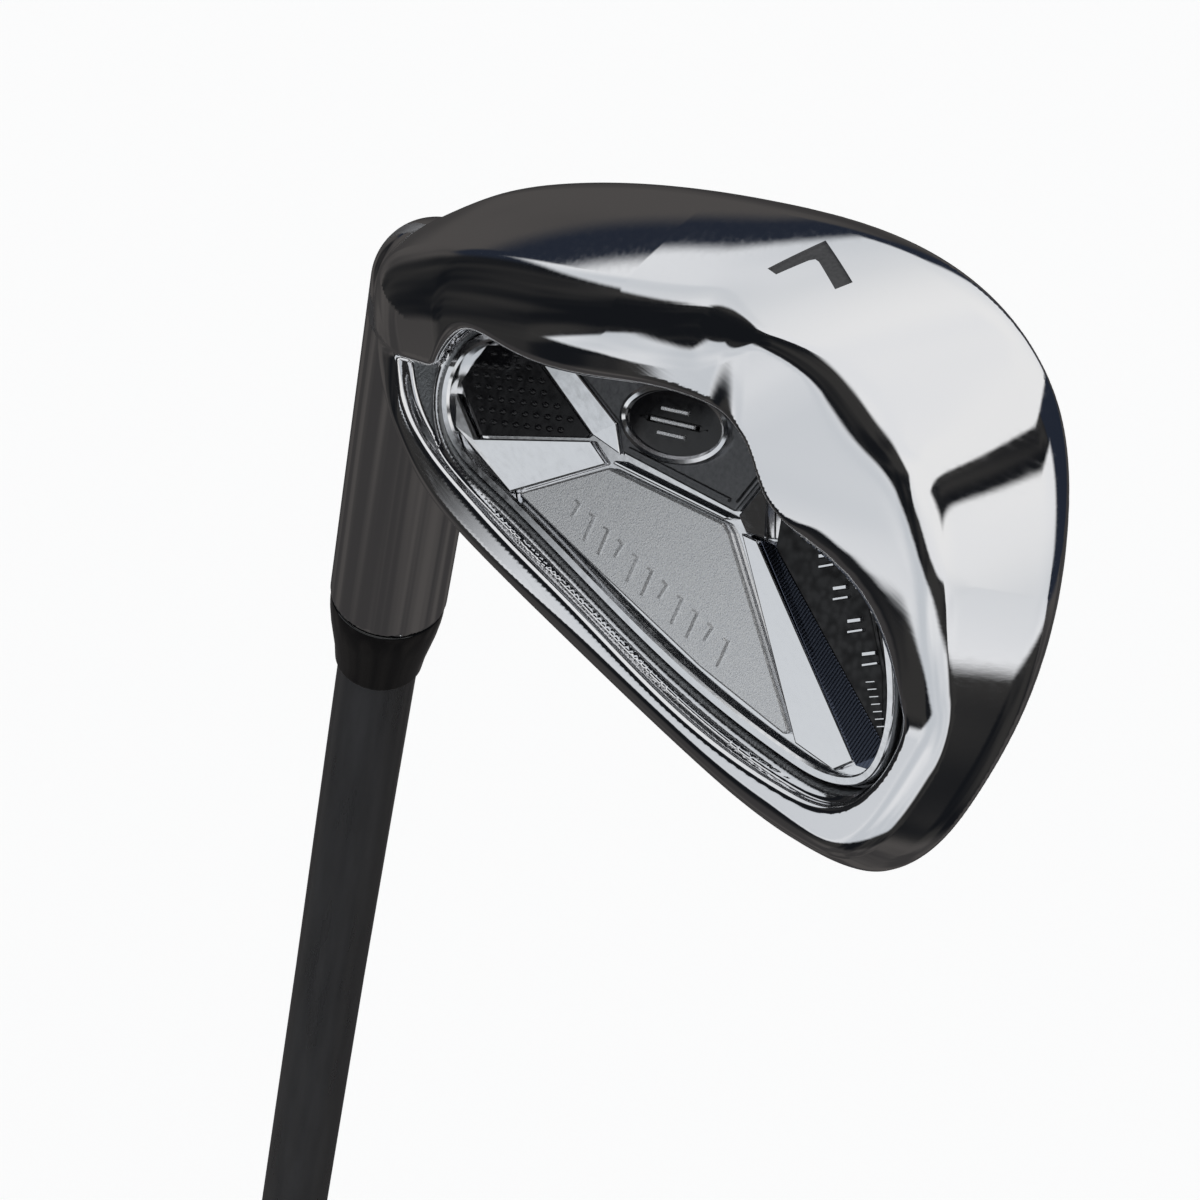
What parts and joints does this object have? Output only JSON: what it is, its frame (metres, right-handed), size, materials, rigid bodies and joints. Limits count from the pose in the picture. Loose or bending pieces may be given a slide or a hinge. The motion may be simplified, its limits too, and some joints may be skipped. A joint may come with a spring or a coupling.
{
  "type": "golf iron",
  "caption": "Left-handed cavity-back mid-iron golf club with a polished cast head, layered back badge, ferrule, tapered graphite shaft and rubber grip.",
  "frame": {"origin": "centre of the grip butt end, on the shaft axis", "axes": "+Z along the shaft axis from the grip butt to the head, +X towards the toe of the head, -Y out of the cavity back"},
  "size_m": [0.0951, 0.0442, 0.9681],
  "materials": {
    "polished_steel": "mirror polished cast stainless steel, sandblasted in the cavity channel",
    "number_enamel": "dark grey enamel paint fill",
    "foam_tape": "foam bonding tape",
    "badge_chrome": "bright chrome plated plastic",
    "satin_silver": "fine grained satin silver",
    "black_gloss": "gloss black with raised dots",
    "black_grain": "black leather grain",
    "gunmetal": "dark grey metallic lacquer",
    "ferrule_black": "polished black",
    "graphite": "charcoal lacquered graphite composite",
    "epoxy": "cured resin",
    "brass": "turned brass",
    "paper_tape": "paper-backed grip tape",
    "grip_rubber": "black textured rubber",
    "cap_rubber": "hard black rubber"
  },
  "bodies": {
    "root": {"head_casting": "polished_steel", "sole_number_fill": "number_enamel", "badge_adhesive": "foam_tape", "badge_frame": "badge_chrome", "satin_panel": "satin_silver", "heel_panel": "black_gloss", "toe_panel": "black_grain", "toe_fin": "badge_chrome", "medallion_bezel": "gunmetal", "medallion_ring": "badge_chrome", "medallion_disc": "black_gloss", "medallion_emblem": "badge_chrome", "ferrule": "ferrule_black", "shaft": "graphite", "epoxy_bond": "epoxy", "tip_weight": "brass", "grip_tape": "paper_tape", "grip": "grip_rubber", "grip_end_cap": "cap_rubber"}
  },
  "joints": []
}
